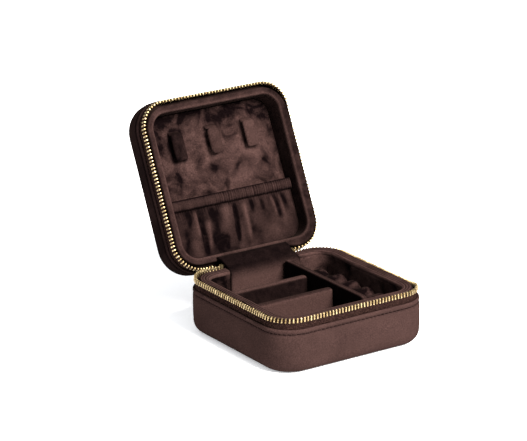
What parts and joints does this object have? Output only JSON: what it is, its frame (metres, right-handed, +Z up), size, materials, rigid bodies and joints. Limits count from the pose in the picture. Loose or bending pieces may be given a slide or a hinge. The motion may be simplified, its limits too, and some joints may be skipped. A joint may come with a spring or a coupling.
{
  "type": "travel jewelry case",
  "caption": "Small square zipped velvet travel jewelry case with padded lid, necklace tabs, gathered lid pocket, dividers and ring rolls.",
  "frame": {"origin": "middle of the underside, on the surface the case stands on", "axes": "+Z up, front of the case towards -Y, lid hinge along X at the back"},
  "size_m": [0.1, 0.1611, 0.1196],
  "materials": {
    "outer_velvet": "short-pile velvet, dark cocoa brown",
    "inner_velvet": "crushed short-pile velvet, dark cocoa brown",
    "zip_tape": "woven twill, brown",
    "zip_brass": "polished brass plate",
    "snap_steel": "satin",
    "board": "grey board, raw",
    "foam": "foam, matt",
    "elastic": "woven elastic, matt"
  },
  "bodies": {
    "base": {"base_board_tray": "board", "base_collar": "inner_velvet", "base_cover": "outer_velvet", "base_foam_wall": "foam", "base_lining": "inner_velvet", "base_zip_tape": "zip_tape", "base_zip_teeth": "zip_brass", "floor_pad": "inner_velvet", "hinge_panel_base": "inner_velvet", "hinge_spine_base": "outer_velvet", "long_divider": "inner_velvet", "ring_bed": "foam", "ring_roll_1": "inner_velvet", "ring_roll_2": "inner_velvet", "ring_roll_3": "inner_velvet", "ring_roll_4": "inner_velvet", "ring_roll_5": "inner_velvet", "ring_roll_6": "inner_velvet", "zip_end_stop_left": "zip_brass", "zip_end_stop_right": "zip_brass", "zip_tail": "zip_tape", "zip_tail_stop": "zip_brass"},
    "lid": {"hinge_panel_lid": "inner_velvet", "hinge_spine_lid": "outer_velvet", "lid_board_tray": "board", "lid_ceiling_board": "board", "lid_ceiling_pad": "inner_velvet", "lid_collar": "inner_velvet", "lid_cover": "outer_velvet", "lid_foam_wall": "foam", "lid_side_lining": "inner_velvet", "lid_zip_tape": "zip_tape", "lid_zip_teeth": "zip_brass", "pocket_elastic": "elastic", "pocket_header": "inner_velvet", "pocket_sheet": "inner_velvet", "tab_1_root": "inner_velvet", "tab_1_socket": "snap_steel", "tab_2_root": "inner_velvet", "tab_2_socket": "snap_steel", "tab_3_root": "inner_velvet", "tab_3_socket": "snap_steel"},
    "front_short_divider": {"front_short_divider": "inner_velvet"},
    "rear_short_divider": {"rear_short_divider": "inner_velvet"},
    "zip_slider": {"zip_slider": "zip_brass"},
    "zip_pull": {"zip_pull": "zip_brass"},
    "tab_1": {"tab_1": "inner_velvet", "tab_1_stud": "snap_steel"},
    "tab_2": {"tab_2": "inner_velvet", "tab_2_stud": "snap_steel"},
    "tab_3": {"tab_3": "inner_velvet", "tab_3_stud": "snap_steel"}
  },
  "joints": [
    {"name": "lid_hinge", "type": "hinge", "parent": "base", "child": "lid", "pos_m": [0, 0.0495, 0.0307], "axis": [-1, 0, 0], "range_deg": [-115, 0]},
    {"name": "tab_1_swing", "type": "hinge", "parent": "lid", "child": "tab_1", "pos_m": [-0.0242, 0.09282, 0.09828], "axis": [-1, 0, 0], "range_deg": [0, 95]},
    {"name": "tab_2_swing", "type": "hinge", "parent": "lid", "child": "tab_2", "pos_m": [0, 0.09282, 0.09828], "axis": [-1, 0, 0], "range_deg": [0, 95]},
    {"name": "tab_3_swing", "type": "hinge", "parent": "lid", "child": "tab_3", "pos_m": [0.0242, 0.09282, 0.09828], "axis": [-1, 0, 0], "range_deg": [0, 95]},
    {"name": "front_short_divider_lift", "type": "slide", "parent": "base", "child": "front_short_divider", "axis": [0, 0, 1], "range_m": [0, 0.012]},
    {"name": "rear_short_divider_lift", "type": "slide", "parent": "base", "child": "rear_short_divider", "axis": [0, 0, 1], "range_m": [0, 0.012]},
    {"name": "zip_slider_travel", "type": "slide", "parent": "base", "child": "zip_slider", "axis": [0, 0, 1], "range_m": [0, 0.003]},
    {"name": "zip_pull_swing", "type": "hinge", "parent": "zip_slider", "child": "zip_pull", "pos_m": [0.027, 0.0545, 0.0193], "axis": [1, 0, 0], "range_deg": [0, 60]}
  ]
}
